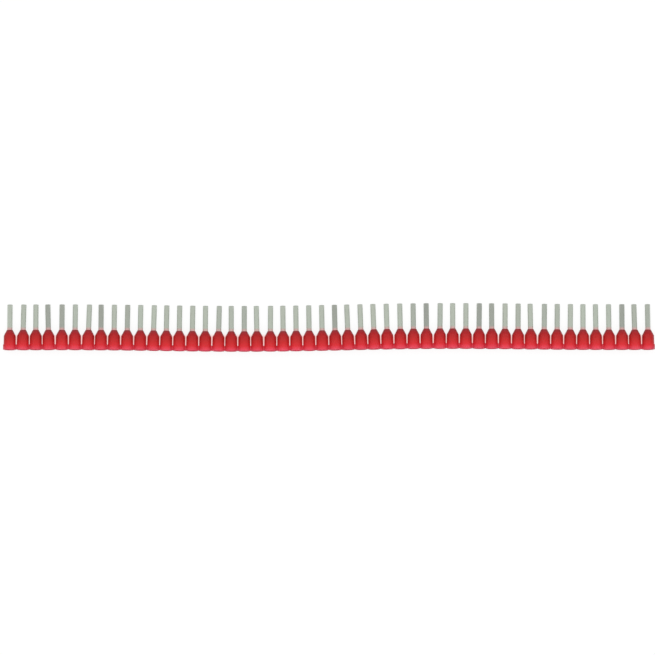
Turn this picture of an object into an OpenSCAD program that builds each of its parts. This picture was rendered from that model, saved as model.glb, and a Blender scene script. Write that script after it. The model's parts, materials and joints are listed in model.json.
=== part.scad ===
// Strip of insulated wire ferrules, linked side by side at their collars.
//
// A ferrule is a thin tube of tinned copper in a moulded plastic collar. The
// stripped strands of a wire go through the collar into the tube, the wire's
// insulation seats in the wide bore of the collar, and the bare part of the
// tube is crimped and clamped in a terminal. The collars are moulded in one
// piece, with a small web between each two, so that a crimping tool or a hand
// can take the ferrules off the strip one by one.
//
// X runs along the strip, Y from the mouths of the collars to the tips of the
// tubes, and Z is up. The strip lies flat on its shoulders and tips. The
// origin is on the ground, under the middle of the strip. Sizes are in mm.

/* [Strip] */
// Number of ferrules
ferrules = 50; // [2:1:50]
// Gap between one collar's mouth and the next
slit_w = 0.2; // [0.15:0.01:0.5]

/* [Tube] */
// Bore of the tube, which takes the stripped strands
tube_bore = 1.4; // [1.1:0.05:1.6]
// Wall of the tube
tube_wall = 0.16; // [0.1:0.01:0.2]
// Bare length of the tube, from the collar to the tip
pin_l = 8.2; // [6:0.1:18]
// Length of the tube's flared end, which is held inside the collar
flare_l = 1.85; // [1.5:0.05:2]
// How much narrower the flare is than the collar's bore, on each side
flare_step = 0.15; // [0.1:0.01:0.2]
// Rounding of the outer edge at the tip
tip_round = 0.07; // [0.03:0.01:0.09]

/* [Collar] */
// Length of the collar
collar_l = 6.4; // [6:0.1:9]
// Bore of the collar, which takes the wire's insulation
wire_bore = 3; // [2.9:0.05:3.1]
// Wall at the mouth
mouth_wall = 0.5; // [0.45:0.01:0.55]
// Wall at the shoulder, before the nose
shoulder_wall = 0.42; // [0.3:0.01:0.45]
// Length of the conical nose
nose_l = 1.85; // [1.5:0.05:2.2]
// Wall around the tube at the end of the nose
nose_wall = 0.1; // [0.08:0.01:0.2]
// Rounding of the shoulder
shoulder_round = 0.6; // [0.2:0.1:1]
// Rounding of the nose's end
nose_round = 0.06; // [0.03:0.01:0.07]
// Rounding of the lip at the mouth
lip_round = 0.1; // [0.06:0.01:0.12]
// Depth of the lead-in, where the bore opens towards the mouth
lead_in_l = 0.5; // [0.3:0.1:1]
// How much wider the bore is at the mouth, on each side
lead_in_w = 0.14; // [0.08:0.01:0.16]
// Length of the funnel, which narrows the bore to the flare's width
funnel_l = 2.75; // [1:0.05:3]

/* [Webs] */
// Height of the webs, along the collars
web_h = 1.6; // [1:0.1:3]
// Thickness of the webs
web_t = 0.8; // [0.5:0.1:1.5]
// How far the webs stay back from the mouths
web_back = 0.1; // [0:0.05:0.5]

/* [Lie] */
// Height of the strip's long wave, as it lies bent in its own plane
long_sway = 0.34; // [0:0.02:0.6]
// Height of the strip's short wave
short_sway = 0.21; // [0:0.01:0.4]
// Most that one ferrule leans out of line with the strip, in degrees
most_lean = 1.6; // [0:0.1:2.5]

/* [Hidden] */

// Facets of a full circle, and steps of a rounded corner
$fn = 64;
corner_steps = 2;
// Where the seam of each turned shape lies, in degrees from the webs
seam_at = 60;

// Waves in the length of the strip, and the angle of each at its middle
long_waves = 0.91;
long_phase = -16;
short_waves = 1.95;
short_phase = -15;
// Angle that scatters the leans
scatter_step = 171.33;

bore_r = wire_bore / 2;
mouth_r = bore_r + mouth_wall;
tube_r = tube_bore / 2 + tube_wall;
pitch = 2 * mouth_r + slit_w;
web_root = bore_r + mouth_wall / 2;

// Corners of the collar, as [radius, place along the axis]
lip_outside = [mouth_r, 0];
lip_inside = [bore_r + lead_in_w, 0];
lead_in_end = [bore_r, lead_in_l];
shoulder = [bore_r + shoulder_wall, collar_l - nose_l];
nose_end = [tube_r + nose_wall, collar_l];

// Corners of the tube: its tip, where it leaves the collar, and its flared end
tip = [tube_r, collar_l + pin_l];
neck = [tube_r, collar_l];
flare_end = [bore_r - flare_step, collar_l - flare_l];

function unit(v) = v / norm(v);

// Middle of the arc that rounds corner b, between the lines to a and to c
function corner_middle(a, b, c, r) =
    let (to_a = unit(a - b), to_c = unit(c - b), half = acos(to_a * to_c) / 2)
    b + unit(to_a + to_c) * r / sin(half);

// Points of the arc itself, from the line to a round to the line to c
function corner(a, b, c, r) =
    let (
        to_a = unit(a - b),
        to_c = unit(c - b),
        length = r / tan(acos(to_a * to_c) / 2),
        middle = corner_middle(a, b, c, r),
        from = b + to_a * length - middle,
        to = b + to_c * length - middle,
        start = atan2(from.y, from.x),
        turn = atan2(cross(from, to), from * to)
    )
    [for (k = [0:corner_steps])
        let (angle = start + turn * k / corner_steps)
        middle + r * [cos(angle), sin(angle)]];

// Place of ferrule i along the strip, from -0.5 at one end to 0.5 at the other
function along(i) = i / (ferrules - 1) - 0.5;
function ferrule_x(i) = along(i) * (ferrules - 1) * pitch;

// How far the bent strip pushes ferrule i off the straight line
function sway(i) =
    long_sway * sin(360 * long_waves * along(i) + long_phase)
    + short_sway * sin(360 * short_waves * along(i) + short_phase);

// A scattered number for ferrule i, from -1 to 1 and mostly near 0
function scatter(i) =
    let (s = 1000 * sin((i + 1) * scatter_step))
    pow(2 * (s - floor(s)) - 1, 3);

// Lean of ferrule i towards +X: square to the bent strip, give or take a little
function lean(i) =
    most_lean * scatter(i) - atan((sway(i + 0.5) - sway(i - 0.5)) / pitch);

// The strip lies on its rounded shoulders and on the rounded tips. The tilt
// makes both touch the ground.
rest_shoulder = corner_middle(lip_outside, shoulder, nose_end, shoulder_round);
rest_tip = tip - tip_round * [1, 1];
rest_step = rest_tip - rest_shoulder;
tilt = atan2(-rest_step.x, rest_step.y)
    + asin((shoulder_round - tip_round) / norm(rest_step));

// Direction of ferrule i's axis as the strip lies, and its mouth's middle
// before the strip is lifted to the ground and centred
function axis_of(i) =
    [sin(lean(i)), cos(lean(i)) * cos(tilt), -cos(lean(i)) * sin(tilt)];
function mouth_of(i) =
    [ferrule_x(i), sway(i) * cos(tilt), -sway(i) * sin(tilt)];

// Reach of a rounded ring of ferrule i in direction d, where middle is the
// [radius, place along the axis] of the middle of its rounding r
function reach(i, d, middle, r) =
    let (lengthways = axis_of(i) * d)
    mouth_of(i) * d + middle.y * lengthways
    + middle.x * sqrt(1 - lengthways * lengthways) + r;

each_ferrule = [0:ferrules - 1];
lift = max([for (i = each_ferrule) max(
    reach(i, [0, 0, -1], rest_shoulder, shoulder_round),
    reach(i, [0, 0, -1], rest_tip, tip_round)
)]);
front_y = -max([for (i = each_ferrule)
    reach(i, [0, -1, 0], lip_outside + lip_round * [-1, 1], lip_round)]);
back_y = max([for (i = each_ferrule)
    reach(i, [0, 1, 0], rest_tip, tip_round)]);

function sleeve_name(i) = str("sleeve_", i < 9 ? "0" : "", i + 1);

// Puts the strip, drawn flat in the plane z = 0, down as it lies
module laid() {
    translate([0, -(front_y + back_y) / 2, lift])
        rotate([-tilt, 0, 0])
            children();
}

// Puts a ferrule's piece, drawn upright on its mouth, in its place in the strip
module in_strip(i) {
    translate([ferrule_x(i), sway(i), 0])
        rotate([0, 0, -lean(i)])
            rotate([-90, 0, 0])
                rotate([0, 0, seam_at])
                    children();
}

// The collar without its bore
module collar_body() {
    rotate_extrude()
        polygon(concat(
            [[0, 0]],
            corner([0, 0], lip_outside, shoulder, lip_round),
            corner(lip_outside, shoulder, nose_end, shoulder_round),
            corner(shoulder, nose_end, [0, collar_l], nose_round),
            [[0, collar_l]]
        ));
}

// What is open inside the collar: the lead-in, the bore for the insulation and
// the seat of the flared tube. Its ends run past the collar's.
module collar_bore() {
    past = 0.5;
    rotate_extrude()
        polygon([
            [0, -past],
            lip_inside + (lip_inside - lead_in_end) * past / lead_in_l,
            lead_in_end,
            [bore_r, flare_end.y - funnel_l],
            flare_end,
            neck + (neck - flare_end) * past / flare_l,
            [0, collar_l + past]
        ]);
}

// A web along X, from a collar's axis at the origin to an end at x = end. It
// is rooted half way through the collar's wall.
module web(end) {
    translate([web_root, web_back, -web_t / 2])
        cube([end - web_root, web_h, web_t]);
}

// The web between ferrule i and the next
module web_after(i) {
    rise = sway(i + 1) - sway(i);
    translate([ferrule_x(i), sway(i), 0])
        rotate([0, 0, atan(rise / pitch)])
            web(norm([pitch, rise]) - web_root);
}

// The webs at the ends of the strip, cut through where the next ferrule was
module end_webs() {
    for (i = [0, ferrules - 1])
        translate([ferrule_x(i), sway(i), 0])
            mirror([i == 0 ? 1 : 0, 0, 0])
                web(pitch / 2);
}

// All collars and their webs, which are moulded in one piece
module collar_strip() {
    color("#c4343a")
        laid()
            difference() {
                union() {
                    for (i = each_ferrule) in_strip(i) collar_body();
                    for (i = [0:ferrules - 2]) web_after(i);
                    end_webs();
                }
                for (i = each_ferrule) in_strip(i) collar_bore();
            }
}

// Ferrule i's tube: straight from the tip to the nose, flared inside the collar
module sleeve(i) {
    wall = [tube_wall, 0];
    color("#b4bab1")
        laid()
            in_strip(i)
                rotate_extrude()
                    polygon(concat(
                        [tip - wall, neck - wall, flare_end - wall],
                        [flare_end, neck],
                        corner(neck, tip, tip - wall, tip_round)
                    ));
}

collar_strip();
for (i = each_ferrule)
    sleeve(i);
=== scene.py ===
# %% [markdown]
# # A strip of wire ferrules
# Fifty insulated wire ferrules lie on a white table. Each is a thin tube of tinned copper in a red plastic
# collar, and the collars are linked by small webs where they were moulded together. The frame gives the
# solids at their real size and place. This script gives them the form and finish of the real pieces: collars
# with rounded lips, webs with soft roots, and tubes with a flared end and a worn, drawn surface.

# %% Load the frame
import math

import bpy
import numpy as np
from mathutils import Matrix, Vector
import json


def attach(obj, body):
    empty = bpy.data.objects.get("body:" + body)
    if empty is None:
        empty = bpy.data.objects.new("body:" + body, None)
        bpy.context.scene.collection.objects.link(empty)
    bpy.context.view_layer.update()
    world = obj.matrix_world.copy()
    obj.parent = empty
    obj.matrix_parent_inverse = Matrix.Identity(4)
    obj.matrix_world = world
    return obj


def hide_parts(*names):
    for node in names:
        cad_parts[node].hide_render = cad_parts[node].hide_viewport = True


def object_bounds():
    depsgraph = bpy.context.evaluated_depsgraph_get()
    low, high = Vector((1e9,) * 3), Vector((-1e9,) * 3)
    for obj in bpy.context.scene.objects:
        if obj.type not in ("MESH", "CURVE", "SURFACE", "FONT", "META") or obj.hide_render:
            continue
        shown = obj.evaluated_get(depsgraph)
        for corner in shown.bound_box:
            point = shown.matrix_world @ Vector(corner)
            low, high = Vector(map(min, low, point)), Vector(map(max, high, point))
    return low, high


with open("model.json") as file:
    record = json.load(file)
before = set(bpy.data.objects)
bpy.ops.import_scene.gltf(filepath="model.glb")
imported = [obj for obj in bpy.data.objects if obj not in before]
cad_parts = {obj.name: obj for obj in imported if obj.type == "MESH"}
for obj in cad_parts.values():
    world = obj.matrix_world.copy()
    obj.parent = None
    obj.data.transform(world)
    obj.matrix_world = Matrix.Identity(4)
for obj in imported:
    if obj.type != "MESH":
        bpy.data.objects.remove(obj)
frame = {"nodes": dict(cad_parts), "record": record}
cad_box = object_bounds()
MM = 0.001
mounts = {m["name"]: m for m in frame["record"]["mounts"]}
count = sum(name.startswith("sleeve_") for name in frame["nodes"])
print("ferrules:", count, "box in mm:", [round(v / MM, 2) for v in cad_box[1] - cad_box[0]])

# %% [markdown]
# ## Where each ferrule lies
# The strip is a little bent, and single ferrules lean out of line. The frame's record states the outside of
# each tube as a mount, with a point on its axis and the axis itself, and that is enough to put a ferrule
# that is modelled once into its place. A ferrule is modelled with its mouth on the ground and its tube
# upright, so the matrix turns Z to the axis, keeps X along the strip, and moves the mouth to its place.

# %% Places from the mounts
COLLAR_LENGTH = 6.4
TUBE_LENGTH = 8.2
TIP_ROUND = 0.07


def place(number):
    pin = mounts[f"pin_{number:02d}"]
    axis = Vector(pin["axis"]).normalized()
    middle = COLLAR_LENGTH + TUBE_LENGTH - TIP_ROUND - pin["dims"]["length_mm"] / 2
    mouth = Vector(pin["pos_m"]) - axis * middle * MM
    across = (Vector((1, 0, 0)) - axis * axis.x).normalized()
    turned = Matrix((across, axis.cross(across), axis)).transposed().to_4x4()
    return Matrix.Translation(mouth) @ turned


places = [place(number + 1) for number in range(count)]
pitch = (places[1].translation - places[0].translation).length / MM
print("pitch in mm:", round(pitch, 3))

# %% [markdown]
# ## Small helpers
# An operator acts on everything that is selected, so each piece starts from an empty selection. The edges of
# a turned shape are rings, and a ring is found by its radius and its height.


# %% Selection and finishing
def start_clean():
    if bpy.context.object and bpy.context.object.mode != "OBJECT":
        bpy.ops.object.mode_set(mode="OBJECT")
    bpy.ops.object.select_all(action="DESELECT")


def take(*objects):
    start_clean()
    for obj in objects:
        obj.select_set(True)
    bpy.context.view_layer.objects.active = objects[0]


def select_ring(obj, radius, height, slack=0.004):
    """Selects the ring of edges at a radius and a height, in millimetres, from edit mode."""
    bpy.ops.mesh.select_all(action="DESELECT")
    bpy.ops.mesh.select_mode(type="EDGE")
    bpy.ops.object.mode_set(mode="OBJECT")
    on_ring = [
        abs(math.hypot(v.co.x, v.co.y) / MM - radius) < slack and abs(v.co.z / MM - height) < slack
        for v in obj.data.vertices
    ]
    for edge in obj.data.edges:
        edge.select = all(on_ring[v] for v in edge.vertices)
    bpy.ops.object.mode_set(mode="EDIT")


def count_triangles(obj):
    obj.data.calc_loop_triangles()
    return len(obj.data.loop_triangles)


# %% [markdown]
# ## Turned shapes
# Collars and tubes are round, so each is drawn as half a section and spun about its axis. The section is a
# chain of points: a plane is merged to one vertex, and that vertex is extruded from corner to corner. The
# spin turns the chain into a closed wall, and its sharp rings are bevelled afterwards, because a ring can
# be picked by its radius and height.


# %% Spin a section
def spin_section(name, section, steps):
    """A closed wall, spun from a loop of (radius, height) corners in millimetres."""
    start_clean()
    first = section[0]
    bpy.ops.mesh.primitive_plane_add(size=MM, location=(first[0] * MM, 0, first[1] * MM))
    obj = bpy.context.object
    obj.name = name
    bpy.ops.object.transform_apply(location=True, rotation=False, scale=False)
    bpy.ops.object.mode_set(mode="EDIT")
    bpy.ops.mesh.select_mode(type="VERT")
    bpy.ops.mesh.select_all(action="SELECT")
    bpy.ops.mesh.merge(type="CENTER")
    for here, there in zip(section, section[1:] + section[:1]):
        step = ((there[0] - here[0]) * MM, 0, (there[1] - here[1]) * MM)
        bpy.ops.mesh.extrude_region_move(TRANSFORM_OT_translate={"value": step})
    bpy.ops.mesh.select_all(action="SELECT")
    bpy.ops.mesh.spin(steps=steps, angle=math.tau, center=(0, 0, 0), axis=(0, 0, 1))
    bpy.ops.mesh.select_all(action="SELECT")
    bpy.ops.mesh.remove_doubles(threshold=0.001 * MM)
    bpy.ops.mesh.normals_make_consistent(inside=False)
    return obj


def round_ring(obj, corner, radius, segments):
    """Bevels one sharp ring of a turned shape."""
    select_ring(obj, *corner)
    bpy.ops.mesh.bevel(offset=radius * MM, offset_type="OFFSET", segments=segments, profile=0.5)


# %% [markdown]
# ## The collar
# The collar is injection moulded. Outside, it tapers a little from the mouth to the shoulder, so that it
# leaves the mould, and then runs out in a cone onto the tube. Inside, it opens towards the mouth to lead the
# wire in, is straight where the wire's insulation enters, and narrows to a seat for the flared tube.

# %% Collar
FACETS = 60
LIP_OUT = (2.0, 0)
LIP_IN = (1.64, 0)
LEAD_IN_END = (1.5, 0.5)
BORE_END = (1.5, 1.8)
SEAT_WIDE = (1.35, 4.55)
NECK = (0.86, COLLAR_LENGTH)
NOSE_OUT = (0.96, COLLAR_LENGTH)
SHOULDER = (1.92, 4.55)

collar = spin_section(
    "collar",
    [LIP_OUT, SHOULDER, NOSE_OUT, NECK, SEAT_WIDE, BORE_END, LEAD_IN_END, LIP_IN],
    FACETS,
)
round_ring(collar, SHOULDER, 0.14, 4)
round_ring(collar, NOSE_OUT, 0.04, 2)
round_ring(collar, LIP_OUT, 0.1, 3)
round_ring(collar, LIP_IN, 0.06, 2)
round_ring(collar, LEAD_IN_END, 0.1, 2)
bpy.ops.object.mode_set(mode="OBJECT")
print("collar triangles:", count_triangles(collar))

# %% [markdown]
# ## The tube
# The tube is drawn copper with a coat of tin. One end is flared, so that no strand of the wire catches on its
# edge; the flare sits in the collar's seat. The other end is cut off square, and tumbling in the tinning bath
# has taken the sharpness off its edges.

# %% Tube
TIP = COLLAR_LENGTH + TUBE_LENGTH
TUBE_OUT = 0.86
TUBE_IN = 0.7
TIP_OUT = (TUBE_OUT, TIP)
TIP_IN = (TUBE_IN, TIP)
RIM_OUT = SEAT_WIDE
RIM_IN = (SEAT_WIDE[0] - (TUBE_OUT - TUBE_IN), SEAT_WIDE[1])
FLARE_IN = (TUBE_IN, COLLAR_LENGTH)

tube = spin_section("tube", [TIP_OUT, TIP_IN, FLARE_IN, RIM_IN, RIM_OUT, NECK], FACETS)
round_ring(tube, TIP_OUT, TIP_ROUND, 4)
round_ring(tube, TIP_IN, 0.03, 2)
round_ring(tube, RIM_IN, 0.03, 2)
round_ring(tube, FLARE_IN, 0.2, 3)
bpy.ops.object.mode_set(mode="OBJECT")
print("tube triangles:", count_triangles(tube))

# %% [markdown]
# ## The webs
# A web is a thin bridge of plastic between two collars, low enough to be cut or broken. Where it meets a
# collar it widens in a cove, because a mould has no sharp inner corners and plastic would crack there. The
# web starts as a narrow block between the collars, and each of its two ends is extruded into a collar's
# wall in steps that grow like a quarter of a circle.

# %% Web
WEB_HEIGHT = 1.6
WEB_THICKNESS = 0.8
WEB_BACK = 0.1
WEB_ROOT = (LIP_OUT[0] + LEAD_IN_END[0]) / 2
COVE = 0.08
COVE_STEPS = 4
COVE_ACROSS = 0.6
CORE = 0.04


def select_end(obj, side):
    """Selects the face that looks along X (side 1) or against it (side -1), from edit mode."""
    bpy.ops.mesh.select_all(action="DESELECT")
    bpy.ops.mesh.select_mode(type="FACE")
    bpy.ops.object.mode_set(mode="OBJECT")
    for face in obj.data.polygons:
        face.select = face.normal.x * side > 0.99
    bpy.ops.object.mode_set(mode="EDIT")


def grow_end(reach, growth):
    """Extrudes the selected end by reach and widens it by growth in millimetres, less across than up."""
    bpy.ops.mesh.extrude_region_move(TRANSFORM_OT_translate={"value": (reach * MM, 0, 0)})
    size = (1, 1 + growth * COVE_ACROSS / WEB_THICKNESS, 1 + growth / WEB_HEIGHT)
    bpy.ops.transform.resize(value=size, center_override=(0, 0, WEB_BACK * MM))


start_clean()
web_middle = (pitch / 2 * MM, 0, (WEB_BACK + WEB_HEIGHT / 2) * MM)
bpy.ops.mesh.primitive_cube_add(size=MM, location=web_middle)
web = bpy.context.object
web.name = "web"
bpy.ops.transform.resize(value=(CORE, WEB_THICKNESS, WEB_HEIGHT))
bpy.ops.object.transform_apply(location=True, rotation=False, scale=True)
bpy.ops.object.mode_set(mode="EDIT")
for side in (1, -1):
    select_end(web, side)
    for step in range(COVE_STEPS):
        turned_from, turned_to = (math.pi / 2 * k / COVE_STEPS for k in (step, step + 1))
        grow_end(
            side * COVE * (math.sin(turned_to) - math.sin(turned_from)),
            COVE * (math.cos(turned_from) - math.cos(turned_to)),
        )
    grow_end(side * (pitch / 2 - WEB_ROOT - COVE - CORE / 2), 0)
bpy.ops.mesh.select_all(action="SELECT")
bpy.ops.mesh.normals_make_consistent(inside=False)
bpy.ops.mesh.select_all(action="DESELECT")
bpy.ops.mesh.edges_select_sharp(sharpness=math.radians(60))
bpy.ops.mesh.bevel(offset=0.06 * MM, offset_type="OFFSET", segments=2, profile=0.5)
bpy.ops.object.mode_set(mode="OBJECT")
print("web triangles:", count_triangles(web))

# %% [markdown]
# At each end of the strip a web was cut through, half way to the ferrule that came next. Its stub is the same
# web, cut with a bisect. The cut is left open by that, so the open edges are picked and filled.

# %% Stub of a cut web
take(web)
bpy.ops.object.duplicate()
stub = bpy.context.object
stub.name = "stub"
bpy.ops.object.mode_set(mode="EDIT")
bpy.ops.mesh.select_all(action="SELECT")
bpy.ops.mesh.bisect(
    plane_co=(pitch / 2 * MM, 0, 0),
    plane_no=(1, 0, 0),
    clear_outer=True,
    threshold=0.001 * MM,
)
bpy.ops.mesh.select_all(action="DESELECT")
bpy.ops.mesh.select_mode(type="EDGE")
bpy.ops.mesh.select_non_manifold()
bpy.ops.mesh.edge_face_add()
bpy.ops.mesh.select_all(action="SELECT")
bpy.ops.mesh.normals_make_consistent(inside=False)
bpy.ops.object.mode_set(mode="OBJECT")
print("stub triangles:", count_triangles(stub))

# %% [markdown]
# ## The strip of collars
# Every collar and web is a copy with its own mesh, moved to its place. A boolean then joins the webs to the
# collars, so that the strip is one closed skin, as the moulding is.


# %% Copies in place
def copy_at(piece, matrix, name):
    copy = piece.copy()
    copy.data = piece.data.copy()
    copy.name = name
    bpy.context.scene.collection.objects.link(copy)
    copy.data.transform(matrix)
    return copy


def join(objects, name):
    take(*objects)
    bpy.ops.object.join()
    bpy.context.object.name = name
    return bpy.context.object


def web_place(mouth, along):
    """Puts a web with its X along the strip, from a collar's mouth, in the strip's own plane."""
    across = along.normalized()
    flat = places[0].col[1].to_3d()
    turned = Matrix((across, flat, across.cross(flat))).transposed().to_4x4()
    return Matrix.Translation(mouth) @ turned


mouths = [matrix.translation for matrix in places]
along_x = Vector((1, 0, 0))
collars = join([copy_at(collar, matrix, "collar_copy") for matrix in places], "collars")
webs = [
    copy_at(web, web_place(here, there - here), "web_copy") for here, there in zip(mouths, mouths[1:])
]
last_stub = copy_at(stub, web_place(mouths[-1], along_x), "last_stub")
first_stub = copy_at(stub, Matrix.Diagonal((-1, 1, 1, 1)), "first_stub")
first_stub.data.flip_normals()
first_stub.data.transform(web_place(mouths[0], along_x))
webs = join(webs + [first_stub, last_stub], "webs")

take(collars)
boolean = collars.modifiers.new("webs", "BOOLEAN")
boolean.operation = "UNION"
boolean.solver = "MANIFOLD"
boolean.object = webs
bpy.ops.object.modifier_apply(modifier="webs")
print("strip triangles:", count_triangles(collars))

# %% [markdown]
# ## The tubes
# Each tube is its own piece, so each copy keeps its own mesh. What was used up on the way is removed, and
# every surface is shaded smooth except where it turns sharply.

# %% Tubes in place
tubes = [copy_at(tube, matrix, f"tube_{k + 1:02d}") for k, matrix in enumerate(places)]
for used in (webs, collar, web, stub, tube):
    bpy.data.objects.remove(used)
take(collars, *tubes)
bpy.ops.object.shade_smooth_by_angle(angle=math.radians(35))
print("tubes:", len(tubes), "with", count_triangles(tubes[0]), "triangles each")

# %% [markdown]
# ## Coordinates that follow each ferrule
# Drawing lines run along a tube and the plastic changes from mouth to nose, so the materials need to know
# where a point lies on its own ferrule. Each vertex stores that as the attribute "own", in millimetres: X
# across the ferrule, Y downwards and Z from the mouth to the tip. A second attribute holds the ferrule's
# number, from which a material takes its chance differences. On the strip a vertex belongs to the ferrule
# whose axis is nearest to it along the strip.


# %% Attributes
def store(obj, name, kind, field, values):
    attribute = obj.data.attributes.new(name, kind, "POINT")
    attribute.data.foreach_set(field, np.ascontiguousarray(values, np.float32).ravel())


def points_of(obj):
    flat = np.empty(3 * len(obj.data.vertices), np.float32)
    obj.data.vertices.foreach_get("co", flat)
    return flat.reshape(-1, 3).astype(float)


inverses = np.array([np.array(matrix.inverted()) for matrix in places])
for number, obj in enumerate(tubes):
    points = np.c_[points_of(obj), np.ones(len(obj.data.vertices))]
    store(obj, "own", "FLOAT_VECTOR", "vector", (points @ inverses[number].T)[:, :3] / MM)
    store(obj, "number", "FLOAT", "value", np.full(len(points), number))

points = np.c_[points_of(collars), np.ones(len(collars.data.vertices))]
own = np.einsum("kij,nj->kni", inverses, points)[:, :, :3] / MM
nearest = np.abs(own[:, :, 0]).argmin(axis=0)
store(collars, "own", "FLOAT_VECTOR", "vector", own[nearest, np.arange(len(points))])
store(collars, "number", "FLOAT", "value", nearest)
print("points on the strip:", len(points))

# %% [markdown]
# ## Shader arithmetic
# A small class stands for a value in a material's node tree. Plain arithmetic on it adds Math nodes, and
# `node` adds any other node and links what it is given. A colour that is mixed with others starts as a node
# of its own, and a vector is taken apart into its three numbers.


# %% Shader values
class Value:
    def __init__(self, tree, socket):
        self.tree, self.socket = tree, socket

    def node(self, kind, output=0, inputs=(), **settings):
        """Adds a node. Inputs are (name or number, value) pairs; a Value is linked, a constant set."""
        made = self.tree.nodes.new(kind)
        for name, setting in settings.items():
            setattr(made, name, setting)
        for key, value in inputs:
            if isinstance(value, Value):
                self.tree.links.new(value.socket, made.inputs[key])
            else:
                made.inputs[key].default_value = value
        return Value(self.tree, None if output is None else made.outputs[output])

    def output(self, key):
        """Another output of the node that this value comes from."""
        return Value(self.tree, self.socket.node.outputs[key])

    def components(self):
        """X, Y and Z of this vector."""
        split = self.node("ShaderNodeSeparateXYZ", inputs=[(0, self)])
        return [split.output(k) for k in range(3)]

    def math(self, operation, *values, clamp=False):
        pairs = list(enumerate(values))
        return self.node("ShaderNodeMath", inputs=pairs, operation=operation, use_clamp=clamp)

    def __add__(self, other):
        return self.math("ADD", self, other)

    def __sub__(self, other):
        return self.math("SUBTRACT", self, other)

    def __mul__(self, other):
        return self.math("MULTIPLY", self, other)

    def __truediv__(self, other):
        return self.math("DIVIDE", self, other)

    def __rsub__(self, other):
        return self.math("SUBTRACT", other, self)

    __radd__ = __add__
    __rmul__ = __mul__

    def step(self, start, end):
        """0 at start, 1 at end and smooth between them; start may lie above end."""
        inputs = [("Value", self), ("From Min", start), ("From Max", end)]
        return self.node("ShaderNodeMapRange", inputs=inputs, interpolation_type="SMOOTHSTEP")

    def noise(self, scale, detail=2.0, stretch=(1, 1, 1)):
        """Noise from -1 to 1 over a vector; scale is in waves per millimetre."""
        placed = self.node(
            "ShaderNodeMapping", inputs=[("Vector", self), ("Scale", tuple(scale * k for k in stretch))]
        )
        noisy = self.node(
            "ShaderNodeTexNoise",
            inputs=[("Vector", placed), ("Scale", 1.0), ("Detail", detail)],
            noise_dimensions="3D",
        )
        return noisy * 2 - 1

    def mix(self, other, share):
        """This colour, turned to the other by a share."""
        inputs = [(0, share), (6, self), (7, other)]
        return self.node("ShaderNodeMix", 2, inputs, data_type="RGBA")


def new_material(name):
    """A material, its Principled BSDF's node, and the values own, x, y, z and chance of its ferrule."""
    material = bpy.data.materials.new(name)
    material.use_nodes = True
    tree = material.node_tree
    surface = tree.nodes["Principled BSDF"]
    start = Value(tree, None)
    own = start.node("ShaderNodeAttribute", "Vector", attribute_name="own")
    number = start.node("ShaderNodeAttribute", "Fac", attribute_name="number")
    x, y, z = own.components()
    whole = number.math("ROUND", number)
    moved = own.node(
        "ShaderNodeCombineXYZ", inputs=[(0, x + whole * 7.3), (1, y), (2, z + whole * 3.1)]
    )
    return material, surface, {"own": moved, "x": x, "y": y, "z": z, "number": whole}


def plain_colour(start, colour):
    """A colour as a value, from which a mix can start."""
    made = start.node("ShaderNodeRGB")
    made.socket.default_value = colour
    return made


def chance(number, seed):
    """A chance value from 0 to 1 for each ferrule."""
    return number.node("ShaderNodeTexWhiteNoise", inputs=[("W", number + seed)], noise_dimensions="1D")


def feed(surface, **values):
    """Sets or links inputs of a Principled BSDF; underscores stand for spaces."""
    for name, value in values.items():
        socket = surface.inputs[name.replace("_", " ")]
        if isinstance(value, Value):
            value.tree.links.new(value.socket, socket)
        else:
            socket.default_value = value


def bump(height, distance, strength=1.0):
    """A normal from a height from 0 to 1, with its full depth in millimetres."""
    inputs = [("Height", height), ("Distance", distance * MM), ("Strength", strength)]
    return height.node("ShaderNodeBump", inputs=inputs)


# %% [markdown]
# ## Red plastic
# The collars are polypropylene, dyed red and a little translucent. Light that enters the open mouth glows
# through the wall there, and the wall lies in shade towards the nose, where the tube's flare stands behind
# it. A colour ramp over the collar's length paints both into the plastic's own red, as painted glow at the
# mouth and painted shade at the nose, with stops from the mouth to the nose's end. The webs are thin, and
# they and the collars' outer flanks are made paler, a painted glow for light that comes through thin plastic.
# The surface is satin, with faint flow marks along the collar, a trace of the mould's parting line on both
# sides, and a fine grain.

# %% Collar material
plastic, surface, at = new_material("red polypropylene")
length = at["z"] / COLLAR_LENGTH
red_with_painted_light = length.node("ShaderNodeValToRGB", inputs=[(0, length)])
# The plastic's own red, with painted glow in the pale pink at the mouth and painted shade in the dark red at
# the nose's end.
stops = [
    (0.0, (0.7, 0.068, 0.115, 1)),
    (0.12, (0.69, 0.042, 0.067, 1)),
    (0.22, (0.61, 0.022, 0.03, 1)),
    (0.42, (0.5, 0.017, 0.018, 1)),
    (0.6, (0.41, 0.014, 0.015, 1)),
    (0.8, (0.385, 0.01, 0.013, 1)),
    (1.0, (0.25, 0.028, 0.034, 1)),
]
elements = red_with_painted_light.socket.node.color_ramp.elements
for k, (place_on, colour) in enumerate(stops):
    element = elements[k] if k < 2 else elements.new(place_on)
    element.position, element.color = place_on, colour
tone = chance(at["number"], 3.7)
cloud = at["own"].noise(0.6, stretch=(1, 1, 0.5))
flow = at["own"].noise(3.0, detail=3.0, stretch=(1, 1, 0.12))
grain = at["own"].noise(14.0, detail=2.0)
parting = at["y"].math("ABSOLUTE", at["y"]).step(0.05, 0.02)
deeper = (0.3, 0.009, 0.012, 1)
colour = red_with_painted_light.mix(deeper, tone * 0.12 + cloud * 0.06 + flow * 0.05 + 0.08)
paler = (0.8, 0.06, 0.07, 1)
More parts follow.
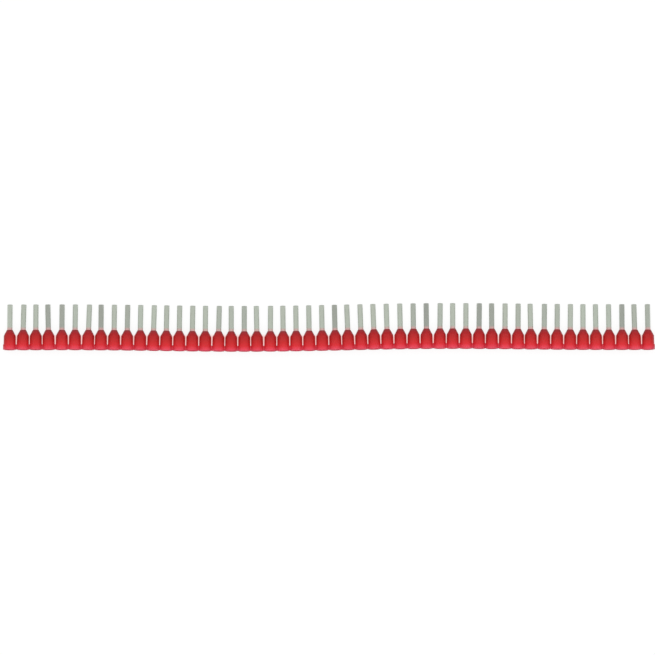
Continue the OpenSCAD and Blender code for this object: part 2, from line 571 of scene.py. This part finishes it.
# Painted glow: from 1.8 mm across, the webs and the collars' outer flanks are made paler, for light that
# comes through thin plastic.
thin_plastic_glow = (0.85, 0.12, 0.18, 1)
glow_on_webs_and_flanks = at["x"].math("ABSOLUTE", at["x"]).step(1.8, 2.0)
feed(
    surface,
    Base_Color=colour.mix(paler, parting * 0.12).mix(thin_plastic_glow, glow_on_webs_and_flanks * 0.5),
    Roughness=0.36 + flow * 0.05 + grain * 0.04 + tone * 0.05,
    Normal=bump(flow * 0.3 + grain * 0.12 + parting * 0.4, 0.012),
    Specular_IOR_Level=0.22,
    Subsurface_Weight=0.12,
    Subsurface_Radius=(1.0, 0.12, 0.1),
    Subsurface_Scale=0.6 * MM,
)

# %% [markdown]
# ## Tinned copper
# The tubes are copper, tinned after they were cut. The tin is dull and slightly uneven, each tube took it
# differently, and drawing left faint lines along it that catch the light. There are a few darker specks, and
# the last 0.4 mm at the tip is darker. A tube's flanks mirror the white around them, and where it leaves the
# collar it mirrors the collar's red. Both reflections are painted into the colour by place: paler flanks by
# the distance across the tube, and pink by the distance from the collar.

# %% Tube material
tin, surface, at = new_material("tinned copper")
tone = chance(at["number"], 11.3)
warmth = chance(at["number"], 29.1)
lines = at["own"].noise(9.0, detail=3.0, stretch=(1, 1, 0.03))
patches = at["own"].noise(0.9, detail=3.0, stretch=(1, 1, 0.45))
grain = at["own"].noise(22.0, detail=2.0)
specks = at["own"].noise(5.0, detail=1.0).step(0.42, 0.55)
# Darker over the last 0.4 mm at the tip.
tip_rim = at["z"].step(TIP - 0.4, TIP)
# Painted reflection: the collar's red, as mirrored in the tin, is mixed in close to the collar.
neck_reflection = at["z"].step(COLLAR_LENGTH + 1.1, COLLAR_LENGTH + 0.2)
# Painted reflection: the flanks are made paler, for the white that mirrors in them.
flank_reflection = at["x"].math("ABSOLUTE", at["x"]).step(0.3, 0.8)
bright = (0.485, 0.532, 0.462, 1)
dull = (0.32, 0.34, 0.31, 1)
warm = (0.46, 0.47, 0.4, 1)
painted_white_reflection = (0.66, 0.69, 0.64, 1)
darker_specks_and_tip = (0.17, 0.17, 0.15, 1)
painted_red_reflection = (0.66, 0.39, 0.38, 1)
share = tone * tone * tone + patches * 0.12 + lines * 0.12
colour = plain_colour(tone, bright).mix(dull, share.math("MAXIMUM", share, 0.0))
colour = colour.mix(warm, warmth * 0.3)
colour = colour.mix(painted_white_reflection, flank_reflection * 0.4)
colour = colour.mix(darker_specks_and_tip, specks * 0.4 + tip_rim * 0.3)
colour = colour.mix(painted_red_reflection, neck_reflection * 0.85)
feed(
    surface,
    Metallic=1.0,
    Base_Color=colour,
    Roughness=0.4 + lines * 0.08 + patches * 0.05 + grain * 0.03 + specks * 0.1,
    Normal=bump(lines * 0.35 + grain * 0.1 + patches * 0.2, 0.012),
)

# %% [markdown]
# ## The pieces and their nodes
# The strip of collars takes the place of its solid, and each tube that of its own.

# %% Pieces
collars.data.materials.clear()
collars.data.materials.append(plastic)
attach(collars, "root")
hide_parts("collar_strip")
for number, obj in enumerate(tubes, 1):
    obj.data.materials.clear()
    obj.data.materials.append(tin)
    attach(obj, "root")
    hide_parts(f"sleeve_{number:02d}")

# %% [markdown]
# ## The table
# The table is plain white. To the camera, and to what mirrors in the metal, most of its white is even and
# the rest takes the soft shadow. To scattered light it is greyer, so that it does not fill the strip's dark
# underside. A Light Path node tells the two kinds of ray apart. Under the strip a painted glow stands for red
# light that comes through the collars: a pink mixed in by place, full under the slits between the collars and
# fading before the mouths, the noses and the ends of the strip. In that band more of the white is even, so
# the shadow there is painted lighter.


# %% Table
def seen_rays(start):
    """1 for rays of the camera and those that mirror or pass through, 0 for scattered light."""
    camera_ray = start.node("ShaderNodeLightPath", "Is Camera Ray")
    glossy, through = (camera_ray.output(f"Is {kind} Ray") for kind in ("Glossy", "Transmission"))
    return camera_ray.math("ADD", camera_ray + glossy, through, clamp=True)


EVEN_SHARE = 0.85
EVEN_SHARE_IN_GLOW = 0.13
HALF_GLOW = cad_box[1][0] - MM

start_clean()
bpy.ops.mesh.primitive_plane_add(size=6)
table = bpy.context.object
table.name = "table"
white = bpy.data.materials.new("white table")
white.use_nodes = True
white.node_tree.nodes.clear()
start = Value(white.node_tree, None)
side, front = start.node("ShaderNodeTexCoord", "Object").components()[:2]
# Painted glow: a pink band on the table under the slits between the collars.
glow = side.math("ABSOLUTE", side).step(HALF_GLOW, HALF_GLOW - MM)
glow = glow * front.step(-6.9 * MM, -4.6 * MM) * front.step(-1.9 * MM, -3.3 * MM)
tinted = plain_colour(start, (1, 1, 1, 1)).mix((1, 0.56, 0.54, 1), glow)
lit_white = start.node("ShaderNodeBsdfDiffuse", inputs=[("Color", tinted)])
even_white = start.node("ShaderNodeEmission", inputs=[("Color", tinted), ("Strength", 1.0)])
lit_grey = start.node("ShaderNodeBsdfDiffuse", inputs=[("Color", (0.4, 0.4, 0.4, 1))])
# In the glow band more of the white is even, which paints the shadow there lighter.
even_share = glow * EVEN_SHARE_IN_GLOW + EVEN_SHARE
shown = start.node("ShaderNodeMixShader", inputs=[(0, even_share), (1, lit_white), (2, even_white)])
mixed = start.node("ShaderNodeMixShader", inputs=[(0, seen_rays(start)), (1, lit_grey), (2, shown)])
start.node("ShaderNodeOutputMaterial", output=None, inputs=[("Surface", mixed)])
table.data.materials.append(white)
print("glow on the table, half its length in mm:", round(HALF_GLOW / MM, 1))

# %% [markdown]
# ## The light
# The strip lies in a light tent: a white world all round, and one large soft lamp over the table. To the
# camera and in mirror rays the world is full white. To scattered light it is weaker, so that the lamp from
# above shapes the collars. The lamp is left out of what mirrors in the metal.

# %% Light
world = bpy.data.worlds.new("white tent")
bpy.context.scene.world = world
world.use_nodes = True
strength = seen_rays(Value(world.node_tree, None)) * 0.65 + 0.35
background = world.node_tree.nodes["Background"]
background.inputs["Color"].default_value = (1, 1, 1, 1)
world.node_tree.links.new(strength.socket, background.inputs["Strength"])

bpy.ops.object.light_add(type="AREA", location=(0, 0, 1.15))
lamp = bpy.context.object
lamp.name = "light tent"
lamp.data.shape = "SQUARE"
lamp.data.size = 3.0
lamp.data.energy = 36.0
lamp.visible_glossy = False
print("lamp:", lamp.data.size, "m wide with", lamp.data.energy, "W")

# %% [markdown]
# ## The camera
# The camera looks straight down from more than a metre with a long lens, so that the long strip hardly
# spreads. It stands a little to the left of the middle.

# %% Camera
bpy.ops.object.camera_add(location=(-0.00047, 0, 1.2), rotation=(0, 0, 0))
camera = bpy.context.object
camera.data.lens = 204.25
camera.data.clip_end = 20
bpy.context.scene.camera = camera
bpy.context.scene.view_settings.view_transform = "Standard"
print("camera height in m:", round(camera.location.z, 2), "lens in mm:", camera.data.lens)

# %% [markdown]
# ## Sizes and finish

# %% Finish
import json
